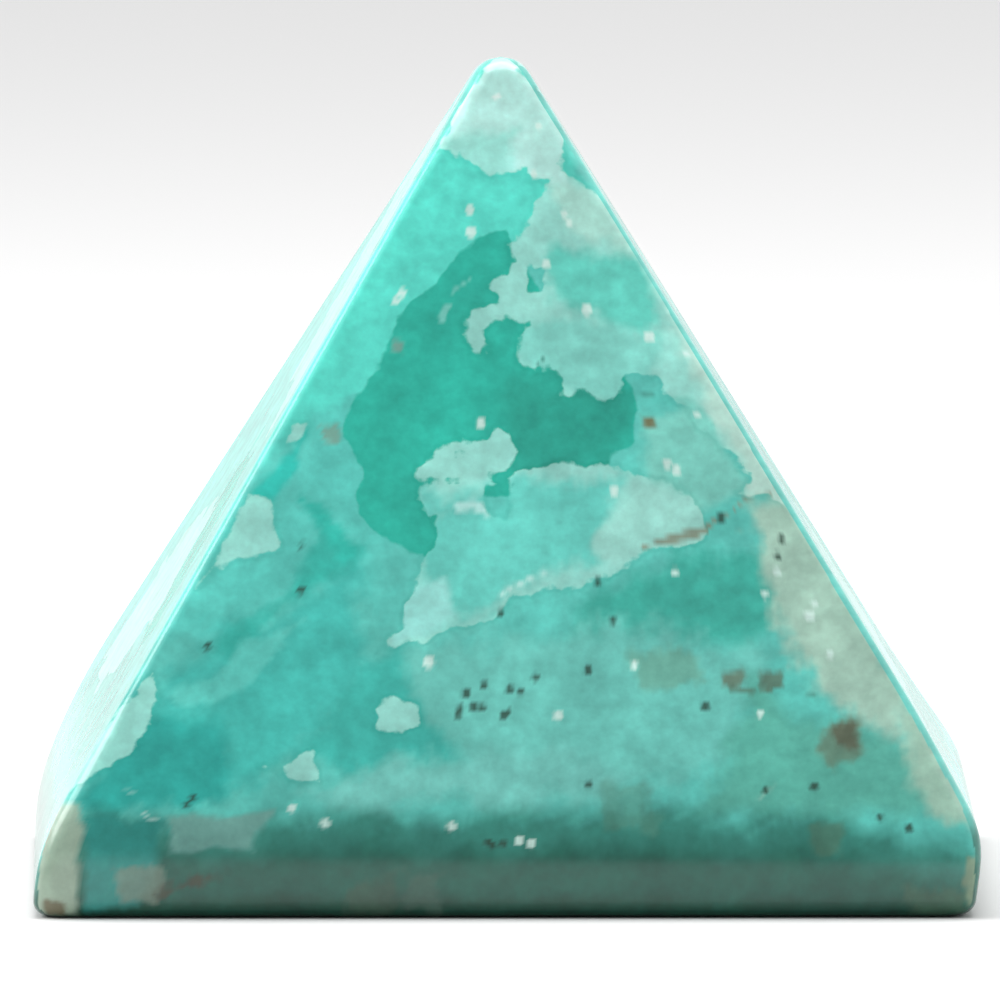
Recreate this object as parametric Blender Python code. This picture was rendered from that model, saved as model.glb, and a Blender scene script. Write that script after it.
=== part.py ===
"""A hand-polished pyramid of blue-green calcite, cut from one natural stone.

Four sloping faces rise from a low upright foot to a blunt, rounded tip. The shape is a loft: level by level,
a rounded square whose four sides each follow their own slope, so that it is as uneven as a hand-ground stone.
Units are metres, +Z is up, the front faces -Y, and the origin is under the middle of the base.
"""

import math
from dataclasses import dataclass

import bmesh
import bpy
from mathutils import Matrix, Vector

STONE_NAME = "calcite_pyramid"

# Driving dimensions
SHARP_HEIGHT = 0.0541  # where the four faces would meet if the tip were not rounded
TIP_RADIUS = 0.0021
HALF_WIDTH = 0.0305
FOOT_LEAN = 0.131  # run per rise of the foot where it draws in towards the base
FOOT_FADE = 0.0004
BASE_RADIUS = 0.0011
POST_RADIUS = 0.0012  # upright edges of the foot, seen from above
ARRIS_RADIUS = 0.0007  # edges between two sloping faces, seen from above
POST_ENDS, ARRIS_STARTS = 0.008, 0.014
TIP_CORNER_RADIUS = 0.0011
ARRIS_ENDS, TIP_STARTS = 0.0420, 0.0500

# The sloping faces were ground a degree off square to the foot
SLOPE_TURN = math.radians(1.0)
TURN_STARTS, TURN_ENDS = 0.003, 0.014

# A flake broken off the front left arris, just above the foot
FLAKE_HEIGHT = 0.0088
FLAKE_DEPTH = 0.00055
FLAKE_RADIUS = 0.0024  # of the hollow, across the arris
FLAKE_LONG_RADIUS = 0.0063  # of the hollow, along the arris

# Fineness of the mesh
LEVELS = 64
LEVEL_CROWDING = 0.85  # 0 spaces the levels evenly, 1 crowds them at the base and the tip
CORNER_STEPS = 6
SIDE_STEPS = 5

STONE_COLOUR = (0.156, 0.565, 0.484, 1.0)
STONE_ROUGHNESS = 0.2


@dataclass(frozen=True)
class Side:
    """One of the four sides: the level where its slope meets the foot, how softly it bends there,
    and how far the foot draws in at the base."""

    shoulder: float
    softness: float
    draw_in: float

    @property
    def slope(self):
        """Run per rise of the sloping face."""
        return HALF_WIDTH / (SHARP_HEIGHT - self.shoulder)


FRONT = Side(shoulder=0.0053, softness=0.0045, draw_in=0.0009)
RIGHT = Side(shoulder=0.0045, softness=0.0022, draw_in=0.0010)
BACK = Side(shoulder=0.0053, softness=0.0040, draw_in=0.0009)
LEFT = Side(shoulder=0.0034, softness=0.0065, draw_in=0.0006)
SIDES = (FRONT, RIGHT, BACK, LEFT)
MEAN_SLOPE = sum(side.slope for side in SIDES) / len(SIDES)

MEAN_HALF_ANGLE = math.atan(MEAN_SLOPE)
HEIGHT = SHARP_HEIGHT - TIP_RADIUS * (1 / math.sin(MEAN_HALF_ANGLE) - 1)


def smooth_min(a, b, softness):
    """The lesser of two lengths, rounded over where they cross."""
    overlap = max(softness - abs(a - b), 0.0) / softness
    return min(a, b) - overlap**3 * softness / 6


def smooth_step(value, start, end):
    """0 before start, 1 after end, and an eased ramp between them."""
    t = min(max((value - start) / (end - start), 0.0), 1.0)
    return t * t * (3 - 2 * t)


def tip_reach(slope, height):
    """Distance from the axis of a straight slope that ends in an arc, which closes at the stone's height."""
    half_angle = math.atan(slope)
    radius = (SHARP_HEIGHT - HEIGHT) / (1 / math.sin(half_angle) - 1)
    arc_starts = SHARP_HEIGHT - radius * math.cos(half_angle) ** 2 / math.sin(half_angle)
    if height < arc_starts:
        return slope * (SHARP_HEIGHT - height)
    above_centre = height - (HEIGHT - radius)
    return math.sqrt(max(radius**2 - above_centre**2, 0.0))


def reach_at(side, height):
    """Distance of one side from the stone's middle at a height."""
    foot = smooth_min(HALF_WIDTH, HALF_WIDTH - side.draw_in + FOOT_LEAN * height, FOOT_FADE)
    below_round = max(BASE_RADIUS - height, 0.0)
    base_round = BASE_RADIUS - math.sqrt(BASE_RADIUS**2 - below_round**2)
    sloping = side.slope / MEAN_SLOPE * tip_reach(MEAN_SLOPE, height)
    return smooth_min(foot, sloping, side.softness) - base_round


def corner_radius_at(height):
    """Radius of the rounded square's corners at a height, grown near the tip so that each arris ends in an arc."""
    radius = POST_RADIUS + (ARRIS_RADIUS - POST_RADIUS) * smooth_step(height, POST_ENDS, ARRIS_STARTS)
    radius += (TIP_CORNER_RADIUS - radius) * smooth_step(height, ARRIS_ENDS, TIP_STARTS)
    diagonal = math.sqrt(2)
    sharp_corner = diagonal * tip_reach(MEAN_SLOPE, height)
    return max(radius, (sharp_corner - tip_reach(diagonal * MEAN_SLOPE, height)) / (diagonal - 1))


def section_at(height):
    """The points of the stone's outline at a height, counter-clockwise from above."""
    front, right, back, left = (reach_at(side, height) for side in SIDES)
    middle = Vector(((right - left) / 2, (back - front) / 2, height))
    half = Vector(((right + left) / 2, (back + front) / 2))
    radius = min(corner_radius_at(height), *half)
    turn = Matrix.Rotation(SLOPE_TURN * smooth_step(height, TURN_STARTS, TURN_ENDS), 3, "Z")
    points = []
    for corner, (sign_x, sign_y) in enumerate(((-1, -1), (1, -1), (1, 1), (-1, 1))):
        arc_centre = middle + Vector((sign_x * (half.x - radius), sign_y * (half.y - radius), 0.0))
        for step in range(CORNER_STEPS + 1):
            angle = math.pi / 2 * (corner + step / CORNER_STEPS) - math.pi
            points.append(turn @ (arc_centre + radius * Vector((math.cos(angle), math.sin(angle), 0.0))))
    return points


def with_side_points(corners):
    """The points of a section with more of them along its straight sides, so that no face is long and thin."""
    points = []
    for i, near in enumerate(corners):
        after = corners[(i + 1) % len(corners)]
        steps = SIDE_STEPS if (i + 1) % (CORNER_STEPS + 1) == 0 else 1
        points.extend(near.lerp(after, step / steps) for step in range(steps))
    return points


def level_heights():
    """Heights of the sections, close together round the base and the tip."""
    crowd = LEVEL_CROWDING / (2 * math.pi)
    shares = (level / LEVELS for level in range(LEVELS))
    return [HEIGHT * (share - crowd * math.sin(2 * math.pi * share)) for share in shares]


def make_stone():
    """The lofted stone: its sections joined in rings, a flat base and a closed tip."""
    bm = bmesh.new()
    sections = [with_side_points(section_at(height)) for height in level_heights()]
    rings = [[bm.verts.new(point) for point in section] for section in sections]
    for lower, upper in zip(rings, rings[1:]):
        for i, near in enumerate(lower):
            after = (i + 1) % len(lower)
            bm.faces.new((near, lower[after], upper[after], upper[i]))
    bm.faces.new(reversed(rings[0]))
    tip = bm.verts.new((0.0, 0.0, HEIGHT))
    for near, after in zip(rings[-1], rings[-1][1:] + rings[-1][:1]):
        bm.faces.new((near, after, tip))
    mesh = bpy.data.meshes.new(STONE_NAME)
    bm.to_mesh(mesh)
    bm.free()
    mesh.shade_smooth()
    return bpy.data.objects.new(STONE_NAME, mesh)


def make_flake_cutter():
    """The long round body, laid along the arris, that scoops the broken flake out of it."""
    heights = (FLAKE_HEIGHT - FLAKE_RADIUS, FLAKE_HEIGHT, FLAKE_HEIGHT + FLAKE_RADIUS)
    below, middle, above = (section_at(height)[CORNER_STEPS // 2] for height in heights)
    along = (above - below).normalized()
    outward = Vector((middle.x, middle.y, 0.0))
    outward = (outward - outward.project(along)).normalized()
    bm = bmesh.new()
    bmesh.ops.create_icosphere(bm, subdivisions=4, radius=1.0)
    stretch = Matrix.Diagonal((FLAKE_RADIUS, FLAKE_RADIUS, FLAKE_LONG_RADIUS)).to_4x4()
    bm.transform(Vector((0.0, 0.0, 1.0)).rotation_difference(along).to_matrix().to_4x4() @ stretch)
    mesh = bpy.data.meshes.new("flake_cutter")
    bm.to_mesh(mesh)
    bm.free()
    cutter = bpy.data.objects.new("flake_cutter", mesh)
    cutter.location = middle + outward * (FLAKE_RADIUS - FLAKE_DEPTH)
    cutter.hide_render = True
    cutter.display_type = "WIRE"
    return cutter


def make_calcite():
    """Polished blue-green calcite."""
    material = bpy.data.materials.new("polished_calcite")
    material.use_nodes = True
    shader = material.node_tree.nodes["Principled BSDF"]
    shader.inputs["Base Color"].default_value = STONE_COLOUR
    shader.inputs["Roughness"].default_value = STONE_ROUGHNESS
    shader.inputs["Metallic"].default_value = 0.0
    return material


def main():
    """Clears the scene, then makes the stone and takes the flake out of it."""
    for found in list(bpy.data.objects):
        bpy.data.objects.remove(found)
    parts = bpy.data.collections.new(STONE_NAME)
    cutters = bpy.data.collections.new("cutters")
    for collection in (parts, cutters):
        bpy.context.scene.collection.children.link(collection)
    stone = make_stone()
    stone.data.materials.append(make_calcite())
    parts.objects.link(stone)
    cutter = make_flake_cutter()
    cutters.objects.link(cutter)
    flake = stone.modifiers.new("flake", "BOOLEAN")
    flake.operation = "DIFFERENCE"
    flake.object = cutter


if __name__ == "__main__":
    main()
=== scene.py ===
"""The looks of a hand-polished pyramid of blue-green calcite, standing on a pale studio floor.

The stone's body is a loft made by Geometry Nodes: level by level, a rounded square whose four sides each
follow their own slope. Its markings are drawn from named outlines, in pixels of the photograph. All lengths
are metres unless a name says otherwise.
"""

import logging
import math
from collections.abc import Mapping, Sequence
from dataclasses import dataclass, fields
from enum import Enum
from typing import ClassVar

import bpy
import numpy as np
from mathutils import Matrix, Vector


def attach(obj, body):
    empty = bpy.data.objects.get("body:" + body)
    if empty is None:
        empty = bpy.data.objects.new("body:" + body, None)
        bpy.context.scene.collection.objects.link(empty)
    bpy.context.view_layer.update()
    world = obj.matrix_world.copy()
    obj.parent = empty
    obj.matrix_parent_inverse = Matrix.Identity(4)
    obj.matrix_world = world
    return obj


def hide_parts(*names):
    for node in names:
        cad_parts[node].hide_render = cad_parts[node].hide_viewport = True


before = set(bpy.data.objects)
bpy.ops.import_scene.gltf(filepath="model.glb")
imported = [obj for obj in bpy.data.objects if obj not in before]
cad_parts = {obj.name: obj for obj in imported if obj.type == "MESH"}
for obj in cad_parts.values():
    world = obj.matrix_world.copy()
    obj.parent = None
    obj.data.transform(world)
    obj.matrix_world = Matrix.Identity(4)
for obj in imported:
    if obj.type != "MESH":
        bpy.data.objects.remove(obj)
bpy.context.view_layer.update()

LOG = logging.getLogger("calcite_pyramid")
MATH = "ShaderNodeMath"
MAP = "ShaderNodeMapRange"


def add_node(
    tree: bpy.types.NodeTree,
    kind: str,
    inputs: Mapping[str, object] | Sequence[object] = (),
    **settings: object,
) -> bpy.types.Node:
    """Adds a node, sets its properties, and fills or links its inputs.

    Args:
        tree: The tree that gets the node.
        kind: The node's type in Blender.
        inputs: Its inputs, by name or in order: a value, or a node or socket to link from.
        settings: The node's own properties.

    Returns:
        The new node.
    """
    node = tree.nodes.new(kind)
    for name, value in settings.items():
        setattr(node, name, value)
    shown = [socket for socket in node.inputs if socket.enabled]
    by_name = {socket.name: socket for socket in reversed(shown)}
    pairs = inputs.items() if isinstance(inputs, Mapping) else enumerate(inputs)
    for key, value in pairs:
        socket = shown[key] if isinstance(key, int) else by_name[key]
        if isinstance(value, bpy.types.Node):
            value = next(output for output in value.outputs if output.enabled)
        if isinstance(value, bpy.types.NodeSocket):
            tree.links.new(value, socket)
        else:
            socket.default_value = value
    return node


def linear_colour(code: str) -> tuple[float, float, float, float]:
    """Turns an sRGB colour into a linear one.

    Args:
        code: The colour in hex, such as "#2BBCA8".

    Returns:
        Its linear red, green and blue, and an alpha of one.
    """
    channels = (int(code[i : i + 2], 16) / 255 for i in (1, 3, 5))
    red, green, blue = (c / 12.92 if c <= 0.04045 else ((c + 0.055) / 1.055) ** 2.4 for c in channels)
    return red, green, blue, 1.0


class Face(Enum):
    """The stone's four sides, counter-clockwise from above, by quarter turns from the front."""

    FRONT = 0
    RIGHT = 1
    BACK = 2
    LEFT = 3


@dataclass(frozen=True)
class Side:
    """One side of the stone.

    Attributes:
        shoulder: The level where its slope would meet the foot.
        softness: How softly it bends there.
        draw_in: How far the foot draws in at the base.
        columns: How many columns of faces it has.
        corner_columns: How many of them lie on each rounded edge, up to its middle.
    """

    shoulder: float
    softness: float
    draw_in: float
    columns: int
    corner_columns: int


@dataclass(frozen=True)
class CalcitePyramid:
    """The whole stone: four sloping faces on a low upright foot, cut from one piece."""

    sharp_height: float = 0.0541
    tip_radius: float = 0.0021
    tip_corner_radius: float = 0.0011
    half_width: float = 0.0305
    foot_lean: float = 0.131
    foot_fade: float = 0.0004
    base_radius: float = 0.0011
    post_radius: float = 0.0012
    arris_radius: float = 0.0007
    post_end: float = 0.008
    arris_start: float = 0.014
    arris_end: float = 0.042
    tip_start: float = 0.050
    slope_turn: float = math.radians(1.0)
    turn_start: float = 0.003
    turn_end: float = 0.014
    level_crowding: float = 0.35
    base_share: float = 0.035
    wave_depth: float = 0.00004
    wave_size: float = 0.011
    wave_start: float = 0.0003
    wave_full: float = 0.003
    weld_distance: float = 0.000001
    seed: float = 3.0

    SIDES: ClassVar[dict[Face, Side]] = {
        Face.FRONT: Side(
            shoulder=0.0053, softness=0.0045, draw_in=0.0009, columns=240, corner_columns=8
        ),
        Face.RIGHT: Side(
            shoulder=0.0045, softness=0.0022, draw_in=0.0010, columns=56, corner_columns=6
        ),
        Face.BACK: Side(
            shoulder=0.0053, softness=0.0040, draw_in=0.0009, columns=56, corner_columns=6
        ),
        Face.LEFT: Side(
            shoulder=0.0034, softness=0.0065, draw_in=0.0006, columns=56, corner_columns=6
        ),
    }
    ROWS: ClassVar[int] = 228

    def slope(self, face: Face) -> float:
        """Run per rise of a sloping face."""
        return self.half_width / (self.sharp_height - self.SIDES[face].shoulder)

    def mean_slope(self) -> float:
        """Run per rise of the four faces together."""
        return sum(self.slope(face) for face in Face) / len(Face)

    def height(self) -> float:
        """Height of the blunt tip."""
        return self.sharp_height - self.tip_radius * (1 / math.sin(math.atan(self.mean_slope())) - 1)

    def tip_arc(self, name: str, slope: float) -> dict[str, float]:
        """The arc in which a straight slope ends at the tip.

        Args:
            name: The first word of the inputs' names.
            slope: Run per rise of the slope.

        Returns:
            The slope and the arc's radius, centre and start as named inputs.
        """
        half_angle = math.atan(slope)
        radius = (self.sharp_height - self.height()) / (1 / math.sin(half_angle) - 1)
        start = self.sharp_height - radius * math.cos(half_angle) ** 2 / math.sin(half_angle)
        return {
            f"{name} slope": slope,
            f"{name} arc radius": radius,
            f"{name} arc centre": self.height() - radius,
            f"{name} arc start": start,
        }

    def named_inputs(self) -> dict[str, float]:
        """Works out the inputs of the loft's node tree.

        Returns:
            The inputs' values, by name.
        """
        names = [field.name for field in fields(self)]
        values = {name.replace("_", " ").capitalize(): getattr(self, name) for name in names}
        values["Height"] = self.height()
        values |= self.tip_arc("Face", self.mean_slope())
        values |= self.tip_arc("Arris", self.mean_slope() * math.sqrt(2))
        for face, side in self.SIDES.items():
            name = face.name.capitalize()
            values[f"{name} steepness"] = self.slope(face) / self.mean_slope()
            values[f"{name} softness"] = side.softness
            values[f"{name} draw in"] = side.draw_in
        return values

    def tip_reach(
        self, tree: bpy.types.NodeTree, given: bpy.types.NodeOutputs, height: bpy.types.Node, name: str
    ) -> bpy.types.Node:
        """Adds the distance from the axis of a straight slope that ends in an arc at the tip.

        Args:
            tree: The loft's tree.
            given: The tree's inputs.
            height: The level.
            name: The first word of the slope's inputs.

        Returns:
            The node that gives the distance.
        """
        depth = add_node(tree, MATH, (given["Sharp height"], height), operation="SUBTRACT")
        straight = add_node(tree, MATH, (depth, given[f"{name} slope"]), operation="MULTIPLY")
        above = add_node(tree, MATH, (height, given[f"{name} arc centre"]), operation="SUBTRACT")
        above_squared = add_node(tree, MATH, (above, above), operation="MULTIPLY")
        radius = given[f"{name} arc radius"]
        radius_squared = add_node(tree, MATH, (radius, radius), operation="MULTIPLY")
        left_over = add_node(tree, MATH, (radius_squared, above_squared), operation="SUBTRACT")
        positive = add_node(tree, MATH, (left_over, 0.0), operation="MAXIMUM")
        arc = add_node(tree, MATH, (positive,), operation="SQRT")
        in_arc = add_node(tree, MATH, (height, given[f"{name} arc start"]), operation="GREATER_THAN")
        return add_node(
            tree, "ShaderNodeMix", {"Factor": in_arc, "A": straight, "B": arc}, data_type="FLOAT"
        )

    def side_reach(
        self,
        tree: bpy.types.NodeTree,
        given: bpy.types.NodeOutputs,
        height: bpy.types.Node,
        sloping: bpy.types.Node,
        face: Face,
    ) -> bpy.types.Node:
        """Adds the distance of one side from the stone's middle, before the base is rounded.

        Args:
            tree: The loft's tree.
            given: The tree's inputs.
            height: The level.
            sloping: The mean distance of the four slopes at that level.
            face: The side.

        Returns:
            The node that gives the distance.
        """
        name = face.name.capitalize()
        at_base = add_node(tree, MATH, (given["Half width"], given[f"{name} draw in"]), operation="SUBTRACT")
        leaning = add_node(tree, MATH, (height, given["Foot lean"], at_base), operation="MULTIPLY_ADD")
        foot = add_node(
            tree, MATH, (given["Half width"], leaning, given["Foot fade"]), operation="SMOOTH_MIN"
        )
        own_slope = add_node(tree, MATH, (sloping, given[f"{name} steepness"]), operation="MULTIPLY")
        return add_node(tree, MATH, (foot, own_slope, given[f"{name} softness"]), operation="SMOOTH_MIN")

    def base_round(
        self, tree: bpy.types.NodeTree, given: bpy.types.NodeOutputs, height: bpy.types.Node
    ) -> bpy.types.Node:
        """Adds how far the rounded lower edge draws the sides in.

        Args:
            tree: The loft's tree.
            given: The tree's inputs.
            height: The level.

        Returns:
            The node that gives the distance.
        """
        radius = given["Base radius"]
        below = add_node(tree, MATH, (radius, height), operation="SUBTRACT")
        positive = add_node(tree, MATH, (below, 0.0), operation="MAXIMUM")
        squared = add_node(tree, MATH, (positive, positive), operation="MULTIPLY")
        radius_squared = add_node(tree, MATH, (radius, radius), operation="MULTIPLY")
        left_over = add_node(tree, MATH, (radius_squared, squared), operation="SUBTRACT")
        across = add_node(tree, MATH, (left_over,), operation="SQRT")
        return add_node(tree, MATH, (radius, across), operation="SUBTRACT")

    def corner_radius(
        self,
        tree: bpy.types.NodeTree,
        given: bpy.types.NodeOutputs,
        height: bpy.types.Node,
        sloping: bpy.types.Node,
    ) -> bpy.types.Node:
        """Adds the radius of the rounded square's corners, which grows near the tip to round each arris.

        Args:
            tree: The loft's tree.
            given: The tree's inputs.
            height: The level.
            sloping: The mean distance of the four slopes at that level.

        Returns:
            The node that gives the radius.
        """
        lower = add_node(
            tree,
            MAP,
            {
                "Value": height,
                "From Min": given["Post end"],
                "From Max": given["Arris start"],
                "To Min": given["Post radius"],
                "To Max": given["Arris radius"],
            },
            interpolation_type="SMOOTHSTEP",
        )
        upper = add_node(
            tree,
            MAP,
            {
                "Value": height,
                "From Min": given["Arris end"],
                "From Max": given["Tip start"],
                "To Min": lower,
                "To Max": given["Tip corner radius"],
            },
            interpolation_type="SMOOTHSTEP",
        )
        diagonal = math.sqrt(2)
        sharp_corner = add_node(tree, MATH, (sloping, diagonal), operation="MULTIPLY")
        arris = self.tip_reach(tree, given, height, "Arris")
        gap = add_node(tree, MATH, (sharp_corner, arris), operation="SUBTRACT")
        needed = add_node(tree, MATH, (gap, 1 / (diagonal - 1)), operation="MULTIPLY")
        return add_node(tree, MATH, (upper, needed), operation="MAXIMUM")

    def build_tree(self, material: bpy.types.Material) -> bpy.types.NodeTree:
        """Builds the loft as a node tree: one grid for each side, wrapped onto the stone and welded.

        Args:
            material: The stone's finish.

        Returns:
            The tree, with the stone's sizes as named inputs.
        """
        tree = bpy.data.node_groups.new("calcite_pyramid_loft", "GeometryNodeTree")
        for name, value in self.named_inputs().items():
            socket = tree.interface.new_socket(name, in_out="INPUT", socket_type="NodeSocketFloat")
            socket.default_value = value
        tree.interface.new_socket("Geometry", in_out="OUTPUT", socket_type="NodeSocketGeometry")
        given = tree.nodes.new("NodeGroupInput").outputs

        place = add_node(tree, "ShaderNodeSeparateXYZ", (add_node(tree, "GeometryNodeInputPosition"),))
        across = place.outputs["X"]
        row = add_node(tree, MATH, (place.outputs["Y"], 0.5), operation="ADD")
        rise = add_node(tree, MAP, {"Value": row, "From Min": given["Base share"], "From Max": 1.0})
        lift = add_node(tree, MAP, {"Value": row, "From Min": 0.0, "From Max": given["Base share"]})
        turns = add_node(tree, MATH, (rise, math.tau), operation="MULTIPLY")
        wave = add_node(tree, MATH, (turns,), operation="SINE")
        crowd = add_node(tree, MATH, (given["Level crowding"], -1 / math.tau), operation="MULTIPLY")
        share = add_node(tree, MATH, (wave, crowd, rise), operation="MULTIPLY_ADD")
        height = add_node(tree, MATH, (share, given["Height"]), operation="MULTIPLY")

        sloping = self.tip_reach(tree, given, height, "Face")
        drawn_in = self.base_round(tree, given, height)
        reach = {
            face: add_node(
                tree,
                MATH,
                (self.side_reach(tree, given, height, sloping, face), drawn_in),
                operation="SUBTRACT",
            )
            for face in Face
        }
        wide = add_node(tree, MATH, (reach[Face.LEFT], reach[Face.RIGHT]), operation="ADD")
        deep = add_node(tree, MATH, (reach[Face.FRONT], reach[Face.BACK]), operation="ADD")
        narrower = add_node(tree, MATH, (wide, deep), operation="MINIMUM")
        largest = add_node(tree, MATH, (narrower, 0.5), operation="MULTIPLY")
        corner = self.corner_radius(tree, given, height, sloping)
        radius = add_node(tree, MATH, (corner, largest), operation="MINIMUM")
        turn = add_node(
            tree,
            MAP,
            {
                "Value": height,
                "From Min": given["Turn start"],
                "From Max": given["Turn end"],
                "To Max": given["Slope turn"],
            },
            interpolation_type="SMOOTHSTEP",
        )
        joined = add_node(tree, "GeometryNodeJoinGeometry")
        faces = list(Face)
        for i, face in enumerate(faces):
            before, after = reach[faces[i - 1]], reach[faces[(i + 1) % len(faces)]]
            point = self.side_point(tree, face, (across, height, lift), (reach[face], before, after), radius)
            quarter = add_node(tree, MATH, (turn, i * math.pi / 2), operation="ADD")
            turned = add_node(
                tree, "ShaderNodeVectorRotate", {"Vector": point, "Angle": quarter}, rotation_type="Z_AXIS"
            )
            grid = add_node(
                tree,
                "GeometryNodeMeshGrid",
                {
                    "Size X": 2.0,
                    "Size Y": 1.0,
                    "Vertices X": self.SIDES[face].columns + 1,
                    "Vertices Y": self.ROWS + 1,
                },
            )
            wrapped = add_node(
                tree, "GeometryNodeSetPosition", {"Geometry": grid.outputs["Mesh"], "Position": turned}
            )
            tree.links.new(wrapped.outputs[0], joined.inputs[0])
        welded = add_node(
            tree, "GeometryNodeMergeByDistance", {"Geometry": joined, "Distance": given["Weld distance"]}
        )
        self.finish_tree(tree, given, welded, material)
        return tree

    def side_point(
        self,
        tree: bpy.types.NodeTree,
        face: Face,
        where: tuple[bpy.types.NodeSocket, bpy.types.Node, bpy.types.Node],
        reaches: tuple[bpy.types.Node, bpy.types.Node, bpy.types.Node],
        radius: bpy.types.Node,
    ) -> bpy.types.Node:
        """Adds the place of a grid's point on one side, as if that side were the front.

        Args:
            tree: The loft's tree.
            face: The side.
            where: The point's share across the side, from -1 to 1, its level, and its share of the way out
                from the middle of the base.
            reaches: Distances from the middle of the side itself, of the one before it and of the one after.
            radius: Radius of the corners.

        Returns:
            The node that gives the place.
        """
        across, height, lift = where
        own, before, after = reaches
        side = self.SIDES[face]
        corner_share = 2 * side.corner_columns / side.columns
        flat = add_node(
            tree,
            MAP,
            {"Value": across, "From Min": corner_share - 1, "From Max": 1 - corner_share, "To Min": -1.0},
        )
        from_middle = add_node(tree, MATH, (across,), operation="ABSOLUTE")
        bend = add_node(
            tree, MAP, {"Value": from_middle, "From Min": 1 - corner_share, "To Max": math.pi / 4}
        )
        direction = add_node(tree, MATH, (across,), operation="SIGN")
        angle = add_node(tree, MATH, (bend, direction), operation="MULTIPLY")
        sine = add_node(tree, MATH, (angle,), operation="SINE")
        cosine = add_node(tree, MATH, (angle,), operation="COSINE")
        span = add_node(tree, MATH, (after, before), operation="ADD")
        half_span = add_node(tree, MATH, (span, 0.5, radius), operation="MULTIPLY_ADD")
        shift = add_node(tree, MATH, (after, before), operation="SUBTRACT")
        middle = add_node(tree, MATH, (shift, 0.5), operation="MULTIPLY")
        two_radii = add_node(tree, MATH, (radius, -2.0, half_span), operation="MULTIPLY_ADD")
        on_flat = add_node(tree, MATH, (flat, two_radii, middle), operation="MULTIPLY_ADD")
        sideways = add_node(tree, MATH, (radius, sine, on_flat), operation="MULTIPLY_ADD")
        inwards = add_node(tree, MATH, (radius, own), operation="SUBTRACT")
        outwards = add_node(tree, MATH, (radius, cosine), operation="MULTIPLY")
        forwards = add_node(tree, MATH, (inwards, outwards), operation="SUBTRACT")
        x = add_node(tree, MATH, (sideways, lift), operation="MULTIPLY")
        y = add_node(tree, MATH, (forwards, lift), operation="MULTIPLY")
        return add_node(tree, "ShaderNodeCombineXYZ", (x, y, height))

    def finish_tree(
        self,
        tree: bpy.types.NodeTree,
        given: bpy.types.NodeOutputs,
        welded: bpy.types.Node,
        material: bpy.types.Material,
    ) -> None:
        """Adds the slight waves that hand polishing leaves, the shading and the material.

        Args:
            tree: The loft's tree.
            given: The tree's inputs.
            welded: The closed stone.
            material: Its finish.
        """
        wave_scale = add_node(tree, MATH, (1.0, given["Wave size"]), operation="DIVIDE")
        noise = add_node(
            tree,
            "ShaderNodeTexNoise",
            {"W": given["Seed"], "Scale": wave_scale, "Detail": 1.0},
            noise_dimensions="4D",
        )
        centred = add_node(tree, MATH, (noise, 0.5), operation="SUBTRACT")
        level = add_node(tree, "ShaderNodeSeparateXYZ", (add_node(tree, "GeometryNodeInputPosition"),))
        above_base = add_node(
            tree,
            MAP,
            {"Value": level.outputs["Z"], "From Min": given["Wave start"], "From Max": given["Wave full"]},
        )
        depth = add_node(tree, MATH, (given["Wave depth"], above_base), operation="MULTIPLY")
        push = add_node(tree, MATH, (centred, depth), operation="MULTIPLY")
        normal = add_node(tree, "GeometryNodeInputNormal")
        offset = add_node(tree, "ShaderNodeVectorMath", {"Vector": normal, "Scale": push}, operation="SCALE")
        waved = add_node(tree, "GeometryNodeSetPosition", {"Geometry": welded, "Offset": offset})
        smooth = add_node(tree, "GeometryNodeSetShadeSmooth", {"Geometry": waved, "Shade Smooth": True})
        whole = add_node(tree, "GeometryNodeRealizeInstances", {"Geometry": smooth})
        dressed = add_node(tree, "GeometryNodeSetMaterial", {"Geometry": whole, "Material": material})
        output = tree.nodes.new("NodeGroupOutput")
        tree.links.new(dressed.outputs[0], output.inputs[0])

    def build(self, material: bpy.types.Material) -> bpy.types.Object:
        """Runs the loft's node tree and keeps its result as a plain mesh.

        Args:
            material: The stone's finish.

        Returns:
            The stone, at the origin.
        """
        tree = self.build_tree(material)
        carrier = bpy.data.objects.new("carrier", bpy.data.meshes.new("carrier"))
        bpy.context.scene.collection.objects.link(carrier)
        modifier = carrier.modifiers.new("loft", "NODES")
        modifier.node_group = tree
        values = self.named_inputs()
        for item in tree.interface.items_tree:
            if item.in_out == "INPUT":
                modifier[item.identifier] = values[item.name]
        evaluated = carrier.evaluated_get(bpy.context.evaluated_depsgraph_get())
        mesh = bpy.data.meshes.new_from_object(evaluated)
        mesh.name = "polished_stone"
        bpy.data.objects.remove(carrier)
        stone = bpy.data.objects.new("polished_stone", mesh)
        bpy.context.scene.collection.objects.link(stone)
        return stone


class Layer(Enum):
    """Where a marking goes: the ground, the deep core, the milk, a hole in the milk, or a stain over all."""

    GROUND = "ground"
    CORE = "core"
    CORE_TINT = "core_tint"
    MILK = "milk"
    MILK_TINT = "milk_tint"
    HOLE = "hole"
    STAIN = "stain"


@dataclass(frozen=True)
class PictureView:
    """Where a point of the stone lies in the photograph, in its pixels."""

    apex: tuple[float, float] = (501.0, 27.6)
    apex_height: float = 0.0541
    pixels_per_metre: float = 15750.0
    elevation: float = math.radians(4.6)

    def place(self, points: np.ndarray) -> np.ndarray:
        """Projects points of the stone.

        Args:
            points: Places on the stone, one row each, turned so that their face is the front.

        Returns:
            Their places in the photograph, one row each.
        """
        x, y, z = points.T
        across = self.apex[0] + self.pixels_per_metre * x
        drop = (self.apex_height - z) * math.cos(self.elevation) - y * math.sin(self.elevation)
        return np.stack((across, self.apex[1] + self.pixels_per_metre * drop), axis=1)


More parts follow.
